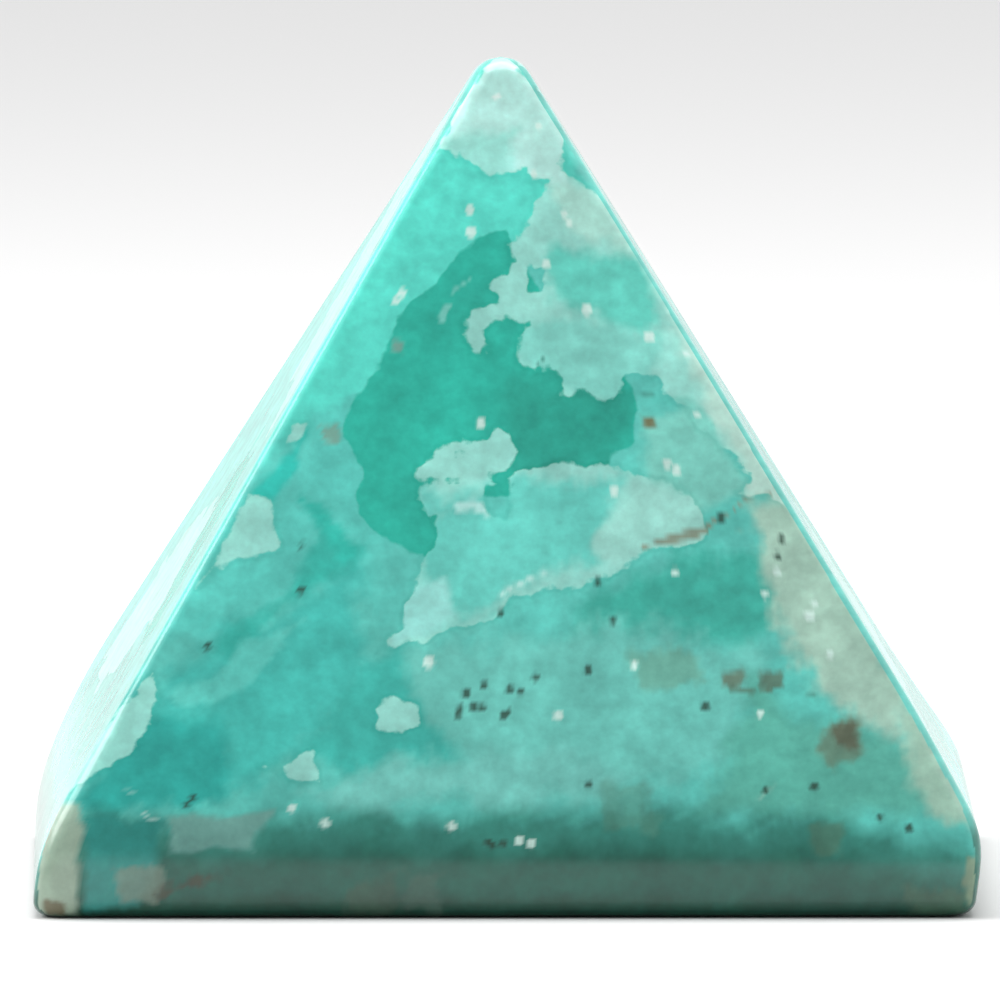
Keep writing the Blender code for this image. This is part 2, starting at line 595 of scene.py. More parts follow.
@dataclass(frozen=True)
class Marking:
    """One marking of the stone, drawn on the photograph.

    Attributes:
        name: What it is.
        layer: Where it goes.
        outline: Its corners, or a line's points, in pixels of the photograph.
        colour: Its sRGB colour, where it has one of its own.
        softness: Width of its edge, in pixels.
        wander: How far its edge strays, in pixels.
        opacity: How much of it shows.
        width: Width of a line, or nothing for an area.
        face: The side it is on, or nothing for all four.
    """

    name: str
    layer: Layer
    outline: tuple[tuple[float, float], ...]
    colour: str = "#FFFFFF"
    softness: float = 12.0
    wander: float = 4.0
    opacity: float = 1.0
    width: float = 0.0
    face: Face | None = Face.FRONT

    def depth(self, points: np.ndarray) -> np.ndarray:
        """Measures how deep points lie inside the marking.

        Args:
            points: Places in the photograph, one row each.

        Returns:
            Their depths in pixels, less than nothing outside it.
        """
        starts = np.array(self.outline, dtype=float)
        ends = np.roll(starts, -1, axis=0)
        if self.width:
            starts, ends = starts[:-1], ends[:-1]
        nearest = np.full(len(points), np.inf)
        inside = np.zeros(len(points), dtype=bool)
        for start, end in zip(starts, ends):
            along = end - start
            offset = points - start
            share = np.clip(offset @ along / (along @ along), 0.0, 1.0)
            nearest = np.minimum(nearest, np.hypot(*(offset - share[:, None] * along).T))
            if start[1] != end[1]:
                crosses = (start[1] > points[:, 1]) != (end[1] > points[:, 1])
                reach = start[0] + along[0] * (points[:, 1] - start[1]) / along[1]
                inside ^= crosses & (points[:, 0] < reach)
        if self.width:
            return self.width / 2 - nearest
        return np.where(inside, nearest, -nearest)


def streak(
    name: str,
    layer: Layer,
    colour: str,
    width: float,
    opacity: float = 1.0,
    wander: float = 1.5,
    *,
    points: tuple[tuple[float, float], ...],
) -> Marking:
    """Describes a line's marking on the front.

    Args:
        name: What it is.
        layer: Where it goes.
        colour: Its sRGB colour.
        width: Its width, in pixels of the photograph.
        opacity: How much of it shows.
        wander: How far its edges stray, in pixels.
        points: Its points, in pixels of the photograph.

    Returns:
        The marking.
    """
    softness = max(LINE_SOFTNESS, width * LINE_SOFT_SHARE)
    return Marking(name, layer, points, colour, softness, wander, opacity, width)


def speck(x: float, y: float, radius: float, colour: str) -> Marking:
    """Describes a speck on the front, spread a little so that the mesh can show it.

    Args:
        x: Its place across, in pixels of the photograph.
        y: Its place down.
        radius: Its radius.
        colour: Its sRGB colour.

    Returns:
        The marking.
    """
    ends = ((x, y - SPECK_REACH), (x, y + SPECK_REACH))
    width = 2 * radius + SPECK_SPREAD
    return Marking("speck", Layer.STAIN, ends, colour, SPECK_SOFTNESS, 0.0, SPECK_OPACITY, width)


# Lines and specks, in pixels of the photograph
LINE_SOFTNESS = 3.0
LINE_SOFT_SHARE = 0.7
SPECK_REACH = 0.5
SPECK_SPREAD = 2.5
SPECK_SOFTNESS = 3.0
SPECK_OPACITY = 0.9
DARK_SPECK = "#2F4A3E"
WHITE_SPECK = "#D9F5EC"

GROUND = (
    Marking("crown", Layer.GROUND, colour="#5FE2D1", softness=40, wander=10, outline=(
        (470, 20), (530, 20), (610, 260), (490, 250), (350, 430), (240, 480),
    )),
    Marking("left_middle", Layer.GROUND, colour="#5FD0C4", softness=45, wander=12, outline=(
        (250, 450), (350, 400), (390, 500), (380, 600), (180, 650), (150, 640),
    )),
    Marking("lower_left", Layer.GROUND, colour="#48C1B6", softness=40, wander=12, outline=(
        (60, 790), (130, 690), (210, 640), (350, 560), (370, 660), (300, 760), (240, 800), (60, 800),
    )),
    Marking("deep_band", Layer.GROUND, colour="#36BDAE", softness=18, wander=6, opacity=0.8, outline=(
        (205, 655), (330, 545), (362, 550), (300, 600), (235, 660),
    )),
    Marking("left_lobe", Layer.GROUND, colour="#62D2C6", softness=10, wander=4, outline=(
        (150, 690), (212, 680), (245, 640), (300, 620), (240, 690), (190, 706),
    )),
    Marking("teal_corner", Layer.GROUND, colour="#31B2A8", softness=20, wander=6, outline=(
        (95, 775), (150, 715), (215, 715), (235, 800), (110, 812), (70, 800),
    )),
    Marking("left_crack_shade", Layer.GROUND, colour="#35CDBF", softness=8, wander=3, outline=(
        (255, 498), (280, 455), (306, 432), (300, 470), (272, 500),
    )),
    Marking("teal_streak", Layer.GROUND, colour="#36C5B5", softness=10, wander=4, outline=(
        (300, 500), (318, 505), (352, 548), (340, 556),
    )),
    Marking("belly", Layer.GROUND, colour="#67D6C9", softness=30, wander=8, outline=(
        (430, 485), (620, 460), (720, 500), (620, 580), (430, 630),
    )),
    Marking("teal_right", Layer.GROUND, colour="#42B6A6", softness=26, wander=8, outline=(
        (600, 590), (660, 565), (765, 545), (772, 610), (740, 650), (560, 640),
    )),
    Marking("lower_middle", Layer.GROUND, colour="#70CCC0", softness=34, wander=10, outline=(
        (400, 650), (600, 630), (760, 650), (720, 760), (600, 800), (400, 800), (350, 730),
    )),
    Marking("sweep_shade", Layer.GROUND, colour="#43BDB1", softness=18, wander=5, outline=(
        (303, 744), (365, 668), (400, 640), (400, 700), (470, 760), (360, 790),
    )),
    Marking("low_fan", Layer.GROUND, colour="#79CFC4", softness=26, wander=8, outline=(
        (300, 790), (430, 755), (560, 745), (620, 780), (520, 800), (380, 806),
    )),
    Marking("right_slope", Layer.GROUND, colour="#60BBAA", softness=30, wander=8, outline=(
        (750, 690), (880, 740), (950, 790), (900, 812), (700, 810),
    )),
    Marking("right_beige", Layer.GROUND, colour="#ACD3C1", softness=26, wander=8, outline=(
        (735, 505), (790, 490), (860, 600), (935, 750), (880, 720), (800, 690), (775, 600),
    )),
    Marking("right_corner", Layer.GROUND, colour="#A6CFBB", softness=22, wander=6, outline=(
        (890, 690), (930, 720), (975, 800), (975, 840), (925, 815),
    )),
    Marking("right_lobe", Layer.GROUND, colour="#82D6C8", softness=16, wander=5, outline=(
        (640, 420), (700, 400), (723, 451), (747, 478), (740, 495), (650, 520),
    )),
    # The next three markings darken every side towards the base: painted shade for the shade on the upright
    # foot and where it meets the floor
    Marking("foot", Layer.GROUND, colour="#3B8E80", softness=34, wander=6, face=None, outline=(
        (-20, 815), (300, 815), (560, 812), (780, 816), (1020, 850), (1020, 960), (-20, 960),
    )),
    Marking("foot_low_painted_shade", Layer.GROUND, colour="#226A5A", softness=34, wander=5, face=None, outline=(
        (-20, 852), (300, 848), (780, 846), (900, 868), (1020, 890), (1020, 960), (-20, 960),
    )),
    Marking("foot_rim_painted_shade", Layer.GROUND, colour="#17503F", softness=22, wander=3, opacity=0.9, face=None, outline=(
        (-20, 892), (1020, 898), (1020, 960), (-20, 960),
    )),
    Marking("foot_teal", Layer.GROUND, colour="#2F958C", softness=14, wander=4, outline=(
        (84, 815), (165, 815), (140, 905), (84, 905),
    )),
    Marking("foot_block", Layer.GROUND, colour="#74ADA3", softness=8, wander=3, outline=(
        (165, 812), (270, 808), (258, 830), (254, 850), (170, 850),
    )),
)

CORE = (
    Marking("core", Layer.CORE, wander=3.0, outline=(
        (493, 231), (479, 238), (470, 247), (455, 262), (441, 278), (420, 299), (397, 322), (385, 350),
        (365, 383), (347, 418), (345, 436), (355, 451), (362, 478), (357, 497), (358, 515), (372, 531),
        (395, 545), (440, 560), (440, 500), (520, 490), (605, 467), (607, 455), (628, 446), (634, 405),
        (627, 385), (600, 340), (540, 300), (505, 231),
    )),
    Marking("core_right", Layer.CORE_TINT, colour="#2BAB98", softness=30, wander=8, outline=(
        (500, 380), (560, 370), (640, 400), (610, 470), (520, 480),
    )),
    Marking("core_patch", Layer.CORE_TINT, colour="#7FA196", softness=5, wander=2, opacity=0.8, outline=(
        (392, 341), (402, 343), (400, 352), (391, 350),
    )),
    streak("core_string", Layer.CORE_TINT, colour="#7FD9CC", width=3, opacity=0.8, points=(
        (452, 292), (460, 286), (468, 281),
    )),
    streak("core_hook", Layer.CORE_TINT, colour="#86DCCF", width=4, opacity=0.8, points=(
        (441, 319), (444, 311), (448, 307),
    )),
)

MILK = (
    Marking("apex", Layer.MILK, wander=3.0, outline=(
        (501, 40), (560, 120), (562, 180), (531, 182), (524, 172), (510, 176), (490, 178), (474, 170),
        (463, 162), (448, 152), (436, 151), (455, 100),
    )),
    Marking("right_cloud", Layer.MILK, wander=4.0, outline=(
        (560, 170), (536, 190), (525, 206), (518, 230), (508, 248), (512, 262), (505, 268), (490, 279),
        (480, 288), (492, 299), (472, 303), (464, 330), (470, 352), (480, 354), (486, 344), (481, 331),
        (500, 328), (510, 319), (528, 325), (520, 343), (517, 361), (531, 371), (554, 370), (558, 394),
        (568, 398), (573, 387), (600, 396), (616, 389), (622, 374), (640, 378), (655, 388), (654, 400),
        (690, 410), (723, 451), (745, 480), (735, 495), (764, 498), (860, 560), (700, 250),
    )),
    Marking("cloud_hole", Layer.HOLE, wander=4.0, outline=(
        (525, 268), (542, 270), (540, 290), (524, 293),
    )),
    Marking("island", Layer.MILK, wander=4.0, outline=(
        (419, 473), (429, 460), (440, 448), (454, 437), (476, 441), (488, 441), (495, 428), (505, 436),
        (511, 453), (500, 464), (484, 471), (478, 481), (441, 480), (430, 475),
    )),
    Marking("island_hole", Layer.HOLE, wander=3.0, outline=(
        (452, 451), (466, 450), (464, 463), (453, 460),
    )),
    Marking("second_cloud", Layer.MILK, wander=5.0, outline=(
        (439, 482), (480, 483), (500, 495), (522, 477), (550, 466), (575, 464), (605, 467), (640, 480),
        (680, 500), (700, 530), (640, 549), (620, 565), (570, 585), (532, 595), (500, 606), (440, 625),
        (410, 640), (372, 650), (400, 630), (414, 597), (420, 565), (444, 541), (430, 513), (427, 499),
    )),
    Marking("cloud_gap", Layer.HOLE, wander=4.0, outline=(
        (485, 489), (505, 488), (503, 515), (486, 512),
    )),
    Marking("small_cloud", Layer.MILK, wander=3.0, outline=(
        (377, 710), (390, 698), (410, 712), (416, 721), (400, 727), (372, 725),
    )),
    Marking("left_patch", Layer.MILK, wander=2.0, outline=(
        (248, 497), (270, 500), (274, 530), (276, 549), (240, 559), (212, 571), (196, 585), (225, 540),
    )),
    Marking("left_strip", Layer.MILK, wander=2.0, outline=(
        (152, 672), (160, 690), (150, 720), (130, 748), (100, 770), (66, 788), (50, 800), (106, 730),
    )),
    Marking("pale_above_crack", Layer.MILK, wander=2.0, outline=(
        (283, 446), (290, 425), (306, 424), (304, 434), (292, 444),
    )),
    Marking("low_patch", Layer.MILK, wander=3.0, outline=(
        (262, 765), (285, 757), (312, 752), (318, 780), (303, 778), (268, 770),
    )),
    Marking("milk_crown", Layer.MILK_TINT, colour="#BDF1E8", softness=14, wander=5, outline=(
        (440, 20), (560, 20), (570, 190), (430, 190),
    )),
    Marking("milk_crown_low", Layer.MILK_TINT, colour="#A3EBDF", softness=14, wander=5, outline=(
        (440, 130), (516, 130), (516, 185), (430, 185),
    )),
    Marking("milk_heart", Layer.MILK_TINT, colour="#ADE2D5", softness=20, wander=6, outline=(
        (540, 180), (600, 190), (660, 260), (640, 260), (560, 235),
    )),
    Marking("milk_teal", Layer.MILK_TINT, colour="#69D6C6", softness=24, wander=7, outline=(
        (550, 245), (640, 262), (665, 325), (640, 340), (590, 310), (550, 300),
    )),
    Marking("milk_low", Layer.MILK_TINT, colour="#89DED1", softness=16, wander=5, outline=(
        (500, 330), (560, 320), (660, 340), (650, 400), (540, 390),
    )),
    Marking("milk_right", Layer.MILK_TINT, colour="#BBE3D6", softness=22, wander=6, outline=(
        (655, 270), (720, 270), (860, 560), (745, 500), (723, 440), (665, 330),
    )),
    Marking("milk_lobe", Layer.MILK_TINT, colour="#84D8CA", softness=8, wander=3, outline=(
        (640, 385), (690, 400), (742, 480), (735, 500), (650, 500),
    )),
    Marking("milk_belly", Layer.MILK_TINT, colour="#6ED9CC", softness=24, wander=8, outline=(
        (430, 500), (620, 480), (600, 555), (540, 585), (420, 620),
    )),
    Marking("milk_belly_right", Layer.MILK_TINT, colour="#A2E2D6", softness=14, wander=5, outline=(
        (630, 480), (700, 500), (700, 535), (610, 565), (590, 545),
    )),
    Marking("milk_left_low", Layer.MILK_TINT, colour="#A0EBE2", softness=10, wander=4, outline=(
        (400, 590), (440, 580), (450, 615), (390, 645),
    )),
    streak("bright_streak", Layer.MILK_TINT, colour="#C4F3EB", width=5, points=(
        (500, 592), (530, 577), (545, 571),
    )),
    streak("cloud_streaks", Layer.MILK_TINT, colour="#C0F5EE", width=7, points=(
        (455, 507), (470, 504), (485, 512),
    )),
)

STAINS = (
    streak("vein", Layer.STAIN, colour="#8C927C", width=3, opacity=0.85, points=(
        (776, 484), (766, 495), (742, 498), (728, 513), (711, 520), (700, 532), (668, 539), (639, 547),
    )),
    streak("vein_loop", Layer.STAIN, colour="#8FA893", width=2, opacity=0.7, points=(
        (730, 530), (745, 533), (755, 528),
    )),
    Marking("brown_wedge", Layer.STAIN, colour="#9C917D", softness=5, wander=2, opacity=0.9, outline=(
        (776, 484), (779, 479), (790, 490), (800, 505), (813, 533), (806, 532), (785, 508),
    )),
    Marking("brown_spot", Layer.STAIN, colour="#76683C", softness=6, wander=3, opacity=0.9, outline=(
        (638, 418), (652, 418), (652, 427), (640, 427),
    )),
    streak("dark_line", Layer.STAIN, colour="#3F7C6C", width=3, opacity=0.8, points=(
        (633, 397), (652, 394),
    )),
    streak("dark_tick", Layer.STAIN, colour="#2F7F70", width=4, opacity=0.8, points=(
        (536, 365), (541, 360),
    )),
    Marking("spot_one", Layer.STAIN, colour="#6E8570", softness=7, wander=4, opacity=0.9, outline=(
        (717, 673), (731, 673), (732, 684), (718, 683),
    )),
    Marking("spot_two", Layer.STAIN, colour="#5F7B68", softness=7, wander=4, opacity=0.9, outline=(
        (761, 675), (778, 673), (779, 687), (763, 687),
    )),
    Marking("spot_three", Layer.STAIN, colour="#4E6E59", softness=7, wander=4, opacity=0.9, outline=(
        (795, 686), (813, 688), (815, 700), (797, 700),
    )),
    Marking("spot_halo", Layer.STAIN, colour="#6E8A74", softness=10, wander=6, opacity=0.8, outline=(
        (815, 722), (846, 718), (852, 745), (825, 768), (806, 752),
    )),
    Marking("spot_four", Layer.STAIN, colour="#5C5B48", softness=8, wander=4, opacity=0.8, outline=(
        (824, 724), (845, 722), (848, 744), (828, 746),
    )),
    Marking("spot_low", Layer.STAIN, colour="#57806A", softness=10, wander=5, opacity=0.6, outline=(
        (808, 828), (830, 826), (830, 850), (812, 850),
    )),
    Marking("brown_field", Layer.STAIN, colour="#6FA088", softness=10, wander=6, opacity=0.55, outline=(
        (628, 652), (690, 650), (700, 680), (640, 685),
    )),
    streak("field_line", Layer.STAIN, colour="#5E8470", width=3, opacity=0.8, points=(
        (725, 687), (745, 690),
    )),
    Marking("left_cluster", Layer.STAIN, colour="#86A08E", softness=5, wander=3, opacity=0.7, outline=(
        (319, 427), (335, 425), (337, 441), (322, 443),
    )),
    Marking("corner_beige", Layer.STAIN, colour="#AFC4AF", softness=9, wander=3, opacity=0.85, outline=(
        (34, 800), (80, 800), (82, 830), (78, 912), (30, 912),
    )),
    Marking("corner_brown", Layer.STAIN, colour="#A39A84", softness=8, wander=4, opacity=0.8, outline=(
        (38, 815), (53, 818), (52, 857), (38, 855),
    )),
    Marking("corner_dark", Layer.STAIN, colour="#6B5B3C", softness=6, wander=3, opacity=0.8, outline=(
        (45, 896), (68, 898), (66, 912), (48, 911),
    )),
    Marking("foot_speckle", Layer.STAIN, colour="#7A8F80", softness=8, wander=5, opacity=0.75, outline=(
        (118, 866), (163, 868), (160, 901), (120, 900),
    )),
    Marking("olive_smudge", Layer.STAIN, colour="#4A4C3C", softness=7, wander=5, opacity=0.85, outline=(
        (152, 890), (185, 870), (222, 858), (230, 865), (215, 882), (190, 890), (157, 899),
    )),
    Marking("olive_low", Layer.STAIN, colour="#47614F", softness=12, wander=6, opacity=0.6, outline=(
        (340, 880), (390, 880), (390, 910), (345, 910),
    )),
    Marking("olive_middle", Layer.STAIN, colour="#4F7263", softness=10, wander=6, opacity=0.6, outline=(
        (402, 868), (433, 868), (435, 905), (402, 904),
    )),
    Marking("foot_pale", Layer.STAIN, colour="#5D9683", softness=12, wander=6, opacity=0.5, outline=(
        (600, 782), (640, 780), (640, 825), (604, 825),
    )),
    Marking("corner_right", Layer.STAIN, colour="#8CA184", softness=8, wander=4, opacity=0.8, outline=(
        (955, 850), (972, 850), (968, 905), (955, 905),
    )),
    Marking("corner_low", Layer.STAIN, colour="#4B6F58", softness=10, wander=5, opacity=0.6, outline=(
        (900, 885), (958, 885), (960, 912), (900, 912),
    )),
    Marking("chalk_tip", Layer.STAIN, colour="#EFFBF6", softness=4, wander=1, opacity=0.8, outline=(
        (490, 97), (499, 93), (502, 98), (494, 102),
    )),
    streak("scratch", Layer.STAIN, colour="#BFE9E2", width=2.5, opacity=0.8, points=(
        (125, 785), (134, 791),
    )),
    streak("hook", Layer.STAIN, colour="#BFE9E2", width=2.5, opacity=0.8, points=(
        (143, 808), (148, 815), (157, 815),
    )),
    streak("arc", Layer.STAIN, colour="#8FCDBD", width=2.5, opacity=0.7, points=(
        (752, 797), (764, 786), (777, 776), (791, 771),
    )),
)

DARK_SPECKS = (
    (463, 692, 3), (481, 684, 2.5), (471, 705, 3), (457, 706, 2), (479, 706, 2), (506, 688, 2.5),
    (517, 690, 2), (532, 676, 2.5), (500, 713, 2.5), (505, 710, 1.5), (455, 713, 2), (498, 612, 2),
    (609, 620, 2), (594, 581, 2), (584, 669, 2.5), (700, 705, 3), (584, 782, 2), (300, 589, 3),
    (717, 518, 3), (777, 539, 2), (773, 556, 2), (300, 545, 1), (207, 645, 2), (192, 795, 2),
    (186, 801, 2), (807, 784, 3), (759, 788, 2), (872, 815, 2), (901, 825, 2.5), (484, 839, 2),
    (489, 842, 2), (499, 840, 2),
)

WHITE_SPECKS = (
    (479, 424, 3), (545, 266, 3), (563, 215, 2), (568, 224, 2), (585, 311, 4), (647, 338, 4),
    (684, 355, 2), (694, 415, 2), (664, 464, 3), (673, 471, 3), (611, 491, 3), (772, 572, 3),
    (804, 615, 4), (760, 594, 2), (809, 604, 2), (554, 714, 3), (754, 712, 2), (290, 805, 2.5),
    (323, 820, 3), (448, 823, 3), (470, 233, 4), (469, 211, 3), (401, 294, 3), (395, 302, 2.5),
    (824, 653, 2.5), (671, 572, 2), (533, 175, 2), (538, 127, 2), (426, 661, 4), (630, 664, 2),
    (515, 837, 3), (527, 840, 3),
)

# Sideways shift of the clouds on each side that the photograph hides or hardly shows
HIDDEN_SHIFTS = {Face.RIGHT: 0.0, Face.BACK: -70.0, Face.LEFT: 40.0}


def hidden_markings(face: Face, shift: float) -> tuple[Marking, ...]:
    """Guesses the markings of a hidden side, in the manner of the front.

    Args:
        face: The side.
        shift: How far its markings are moved sideways, in pixels of the photograph.

    Returns:
        The side's markings.
    """
    return (
        Marking("cloud", Layer.MILK, wander=14.0, face=face, outline=(
            (501, 30), (560, 160), (600 + shift, 330), (640 + shift, 430), (520, 400), (470, 300),
            (440, 200),
        )),
        Marking("low_cloud", Layer.MILK, wander=16.0, face=face, outline=(
            (300 + shift, 560), (520 + shift, 520), (640, 640), (480, 700), (240, 720),
        )),
        Marking("core", Layer.CORE, wander=10.0, face=face, outline=(
            (520 + shift, 420), (700, 520), (740, 640), (600, 660), (480 + shift, 540),
        )),
        Marking("band", Layer.GROUND, colour="#58B9AC", softness=40, wander=16, face=face, outline=(
            (120, 760), (420, 640), (880, 700), (900, 780), (400, 800),
        )),
    )


@dataclass(frozen=True)
class CalciteMarkings:
    """Everything the stone has grown with: its ground, its deep core, its milk, its stains and specks; and
    painted shade, darker towards the base of every side.
    """

    ground_colour: str = "#62CCC0"
    core_colour: str = "#2EBCA8"
    milk_colour: str = "#9CE2D6"
    seed: int = 11
    drift_size: float = 0.0028
    drift_rate: float = 1.6
    drift_waves: int = 14
    drift_octaves: tuple[float, ...] = (0.6, 0.4, 0.28, 0.2)
    far: float = -60.0

    def drift(self, points: np.ndarray, salt: int) -> np.ndarray:
        """Smooth noise through the stone, between about -1 and 1.

        Args:
            points: Places on the stone.
            salt: A number that tells one noise from another.

        Returns:
            One value for each point.
        """
        draw = np.random.default_rng(self.seed + salt)
        total = np.zeros(len(points))
        for octave, share in enumerate(self.drift_octaves):
            rate = 2**octave * self.drift_rate / self.drift_size
            waves = draw.normal(size=(3, self.drift_waves)) * rate
            phases = draw.uniform(0, math.tau, self.drift_waves)
            total += share * np.sin(points @ waves + phases).sum(axis=1) / math.sqrt(self.drift_waves / 2)
        return total

    def everything(self) -> tuple[Marking, ...]:
        """Gathers all markings of the stone.

        Returns:
            The markings, in the order in which they lie over each other.
        """
        hidden = (mark for face, shift in HIDDEN_SHIFTS.items() for mark in hidden_markings(face, shift))
        dark = (speck(*place, DARK_SPECK) for place in DARK_SPECKS)
        white = (speck(*place, WHITE_SPECK) for place in WHITE_SPECKS)
        return (*GROUND, *hidden, *CORE, *MILK, *STAINS, *dark, *white)

    def paint(self, stone: bpy.types.Object) -> int:
        """Stores the markings on the stone's points, as colours and as depths.

        Args:
            stone: The finished mesh.

        Returns:
            How many markings there are.
        """
        mesh = stone.data
        flat = np.empty(len(mesh.vertices) * 3)
        mesh.vertices.foreach_get("co", flat)
        points = flat.reshape(-1, 3)
        heading = np.arctan2(points[:, 1], points[:, 0])
        quarter = np.round(heading / (math.pi / 2) + 1).astype(int) % len(Face)
        angle = quarter * (math.pi / 2)
        turned = points.copy()
        turned[:, 0] = points[:, 0] * np.cos(angle) + points[:, 1] * np.sin(angle)
        turned[:, 1] = points[:, 1] * np.cos(angle) - points[:, 0] * np.sin(angle)
        picture = PictureView().place(turned)
        stray = self.drift(points, 1)
        bases = {
            Layer.GROUND: self.ground_colour,
            Layer.CORE_TINT: self.core_colour,
            Layer.MILK_TINT: self.milk_colour,
        }
        colours = {
            layer: np.tile(linear_colour(base)[:3], (len(points), 1)) for layer, base in bases.items()
        }
        depths = {layer: np.full(len(points), self.far) for layer in (Layer.CORE, Layer.MILK)}
        markings = self.everything()
        for marking in markings:
            depth = marking.depth(picture) + marking.wander * stray
            if marking.face is not None:
                depth = np.where(quarter == marking.face.value, depth, self.far)
            self.lay(marking, depth, colours, depths)
        for layer, values in colours.items():
            attribute = mesh.attributes.new(layer.value, "FLOAT_COLOR", "POINT")
            attribute.data.foreach_set("color", np.column_stack((values, np.ones(len(points)))).ravel())
        for layer, values in depths.items():
            attribute = mesh.attributes.new(f"{layer.value}_depth", "FLOAT", "POINT")
            attribute.data.foreach_set("value", values)
        return len(markings)

    def lay(
        self,
        marking: Marking,
        depth: np.ndarray,
        colours: dict[Layer, np.ndarray],
        depths: dict[Layer, np.ndarray],
    ) -> None:
        """Lays one marking over those before it.

        Args:
            marking: The marking.
            depth: How deep each point lies inside it, in pixels.
            colours: Each layer's colours so far.
            depths: Each zone's depths so far.
        """
        if marking.layer in depths:
            depths[marking.layer] = np.maximum(depths[marking.layer], depth)
            return
        if marking.layer is Layer.HOLE:
            depths[Layer.MILK] = np.minimum(depths[Layer.MILK], -depth)
            return
        share = np.clip(depth / marking.softness + 0.5, 0, 1)
        share = marking.opacity * share * share * (3 - 2 * share)
        colour = np.array(linear_colour(marking.colour)[:3])
        for layer in colours if marking.layer is Layer.STAIN else (marking.layer,):
            colours[layer] += share[:, None] * (colour - colours[layer])


@dataclass(frozen=True)
class Mottle:
    """Patches that lighten and darken the stone.

    Attributes:
        size: The size of the patches.
        detail: How many finer levels they have.
        low: The noise at which they are darkest.
        high: The noise at which they are lightest.
        dark: The colour's share that is left in the darkest.
        light: The colour's share in the lightest.
    """

    size: float
    detail: float
    low: float
    high: float
    dark: float
    light: float


@dataclass(frozen=True)
class PolishedCalcite:
    """Caribbean calcite, sawn, ground and polished by hand.

    The eye sees a glassy, faintly waxy polish over colour that lies inside the stone: clear turquoise, a
    deep teal core, milky clouds with ragged rims, and fine grain. Raggedness, widths and reaches of the
    edges are in pixels of the photograph.
    """

    index_of_refraction: float = 1.57
    roughness: float = 0.17
    smoother: float = 0.05
    rougher: float = 0.08
    translucency: float = 0.18
    light_path: float = 0.0014
    light_reach: tuple[float, float, float] = (0.5, 1.0, 0.9)
    pit_strength: float = 0.08
    pit_depth: float = 0.00005
    edge_size: float = 0.0011
    edge_detail: float = 4.0
    core_raggedness: float = 7.0
    milk_raggedness: float = 16.0
    edge_width: float = 4.0
    rim_width: float = 5.0
    rim_reach: float = 5.0
    rim_colour: tuple[float, float, float, float] = (0.86, 0.93, 0.92, 1.0)

    CLOUDS: ClassVar[Mottle] = Mottle(size=0.0045, detail=5.0, low=0.3, high=0.7, dark=0.86, light=1.12)
    FOAM: ClassVar[Mottle] = Mottle(size=0.0016, detail=6.0, low=0.35, high=0.68, dark=0.9, light=1.12)
    # The real grain is finer than this, and is drawn coarser so that it shows
    GRAIN: ClassVar[Mottle] = Mottle(size=0.0007, detail=3.0, low=0.3, high=0.7, dark=0.93, light=1.06)

    def build(self) -> bpy.types.Material:
        """Makes the material.

        Returns:
            The material, which reads the markings from the stone's attributes.
        """
        material = bpy.data.materials.new("polished_calcite")
        material.use_nodes = True
        tree = material.node_tree
        shader = tree.nodes["Principled BSDF"]
        place = add_node(tree, "ShaderNodeTexCoord").outputs["Object"]
        colour = self.zones(tree, place)
        foam = None
        for mottle in (self.CLOUDS, self.FOAM, self.GRAIN):
            noise = add_node(
                tree,
                "ShaderNodeTexNoise",
                {"Vector": place, "Scale": 1 / mottle.size, "Detail": mottle.detail},
            )
            light = add_node(
                tree,
                MAP,
                {
                    "Value": noise,
                    "From Min": mottle.low,
                    "From Max": mottle.high,
                    "To Min": mottle.dark,
                    "To Max": mottle.light,
                },
            )
            colour = add_node(
                tree, "ShaderNodeVectorMath", {"Vector": colour, "Scale": light}, operation="SCALE"
            )
            foam = noise if mottle is self.FOAM else foam
        polish = add_node(
            tree,
            MAP,
            {
                "Value": foam,
                "To Min": self.roughness - self.smoother,
                "To Max": self.roughness + self.rougher,
            },
        )
        pits = add_node(
            tree,
            "ShaderNodeBump",
            {"Strength": self.pit_strength, "Distance": self.pit_depth, "Height": foam},
        )
        tree.links.new(colour.outputs[0], shader.inputs["Base Color"])
        tree.links.new(polish.outputs[0], shader.inputs["Roughness"])
        tree.links.new(pits.outputs[0], shader.inputs["Normal"])
        shader.inputs["IOR"].default_value = self.index_of_refraction
        shader.inputs["Subsurface Weight"].default_value = self.translucency
        shader.inputs["Subsurface Radius"].default_value = self.light_reach
        shader.inputs["Subsurface Scale"].default_value = self.light_path
        return material

    def zones(self, tree: bpy.types.NodeTree, place: bpy.types.NodeSocket) -> bpy.types.Node:
        """Adds the stone's three zones, the core over the ground and the milk over both, with a dark rim.

        Args:
            tree: The material's tree.
            place: The point's place on the stone.

        Returns:
            The node that gives the colour.
        """
        ragged = add_node(
            tree,
            "ShaderNodeTexNoise",
            {"Vector": place, "Scale": 1 / self.edge_size, "Detail": self.edge_detail},
        )
        # The ground colour also carries the painted shade that darkens each side towards the base
        ground = add_node(tree, "ShaderNodeAttribute", attribute_name=Layer.GROUND.value)
        core = add_node(tree, "ShaderNodeAttribute", attribute_name=Layer.CORE_TINT.value)
        in_core = self.mask(tree, Layer.CORE, ragged, self.core_raggedness, self.edge_width)
        deep = add_node(tree, "ShaderNodeMix", {"Factor": in_core, "A": ground, "B": core}, data_type="RGBA")
        rim = self.mask(tree, Layer.MILK, ragged, self.milk_raggedness, self.rim_width, -self.rim_reach)
        white = (1.0, 1.0, 1.0, 1.0)
        shade = add_node(
            tree, "ShaderNodeMix", {"Factor": rim, "A": white, "B": self.rim_colour}, data_type="RGBA"
        )
        edged = add_node(tree, "ShaderNodeVectorMath", (deep, shade), operation="MULTIPLY")
        milk = add_node(tree, "ShaderNodeAttribute", attribute_name=Layer.MILK_TINT.value)
        in_milk = self.mask(tree, Layer.MILK, ragged, self.milk_raggedness, self.edge_width)
        return add_node(tree, "ShaderNodeMix", {"Factor": in_milk, "A": edged, "B": milk}, data_type="RGBA")

